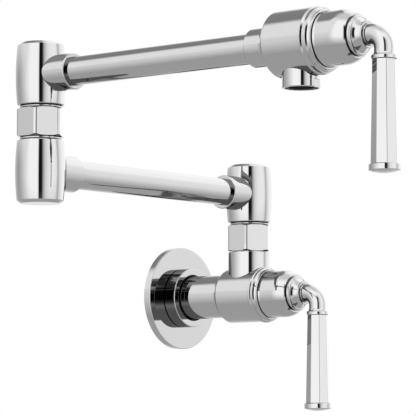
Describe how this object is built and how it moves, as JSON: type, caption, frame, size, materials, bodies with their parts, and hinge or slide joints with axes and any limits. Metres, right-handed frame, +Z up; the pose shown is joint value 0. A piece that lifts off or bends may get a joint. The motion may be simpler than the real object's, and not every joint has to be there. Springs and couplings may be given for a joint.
{
  "type": "wall mounted pot filler",
  "caption": "Wall mounted pot filler tap: folding jointed arm of round tubes and bulged swivel barrels, lever valves at the wall and at the spout, round wall flange.",
  "frame": {"origin": "middle of the inlet thread's mouth, on the wall valve's axis in the plane of the wall", "axes": "+Y into the wall along the wall valve's axis, +Z up along the swivels, +X to the right of someone facing the wall"},
  "size_m": [0.3224, 0.4181, 0.2819],
  "materials": {
    "polished_chrome": "mirror polished plate",
    "cast_brass": "machined",
    "rubber": "matte",
    "acetal": "satin",
    "black_plastic": "satin",
    "ceramic": "lapped",
    "stainless_steel": "bright"
  },
  "bodies": {
    "wall_valve": {"wall_flange": "polished_chrome", "wall_flange_gasket": "rubber", "wall_flange_seal": "rubber", "wall_flange_screw": "stainless_steel", "inlet_shank": "polished_chrome", "inlet_strainer": "stainless_steel", "wall_valve_body": "polished_chrome", "wall_trim_ring": "polished_chrome", "wall_bonnet": "polished_chrome", "wall_cartridge_housing": "cast_brass", "wall_seat_seal": "rubber", "wall_fixed_disc": "ceramic", "wall_swivel_nut": "polished_chrome", "wall_thrust_washer": "acetal"},
    "lower_arm": {"wall_barrel": "polished_chrome", "wall_barrel_cap": "polished_chrome", "wall_swivel_post": "cast_brass", "wall_post_seals": "rubber", "lower_arm_tube": "polished_chrome", "elbow_lower_barrel": "polished_chrome", "elbow_lower_cap": "polished_chrome", "elbow_swivel_nut": "polished_chrome", "elbow_thrust_washer": "acetal"},
    "upper_arm": {"elbow_upper_barrel": "polished_chrome", "elbow_upper_cap": "polished_chrome", "elbow_swivel_post": "cast_brass", "elbow_post_seals": "rubber", "upper_arm_tube": "polished_chrome", "spout_valve_body": "polished_chrome", "spout_trim_ring": "polished_chrome", "spout_bonnet": "polished_chrome", "spout_cartridge_housing": "cast_brass", "spout_seat_seal": "rubber", "spout_fixed_disc": "ceramic", "outlet_straightener_shell": "black_plastic", "outlet_straightener_plate": "black_plastic", "outlet_gasket": "rubber"},
    "wall_lever": {"wall_lever_neck": "polished_chrome", "wall_lever_screw": "stainless_steel", "wall_lever_collar": "polished_chrome", "wall_lever_grip": "polished_chrome", "wall_lever_end_cap": "polished_chrome", "wall_valve_stem": "cast_brass", "wall_moving_disc": "ceramic", "wall_stem_seal": "rubber"},
    "spout_lever": {"spout_lever_neck": "polished_chrome", "spout_lever_screw": "stainless_steel", "spout_lever_collar": "polished_chrome", "spout_lever_grip": "polished_chrome", "spout_lever_end_cap": "polished_chrome", "spout_valve_stem": "cast_brass", "spout_moving_disc": "ceramic", "spout_stem_seal": "rubber"}
  },
  "joints": [
    {"name": "wall_swivel", "type": "hinge", "parent": "wall_valve", "child": "lower_arm", "pos_m": [0, -0.0803, 0.0588], "axis": [0, 0, 1], "range_deg": [0, 180]},
    {"name": "elbow_swivel", "type": "hinge", "parent": "lower_arm", "child": "upper_arm", "pos_m": [-0.2543, -0.0803, 0.1332], "axis": [0, 0, 1], "range_deg": [-270, 90]},
    {"name": "wall_lever_turn", "type": "hinge", "parent": "wall_valve", "child": "wall_lever", "pos_m": [0, -0.1303, 0], "axis": [0, -1, 0], "range_deg": [0, 90]},
    {"name": "spout_lever_turn", "type": "hinge", "parent": "upper_arm", "child": "spout_lever", "pos_m": [-0.2543, -0.3845, 0.1594], "axis": [0, -1, 0], "range_deg": [0, 90]}
  ]
}
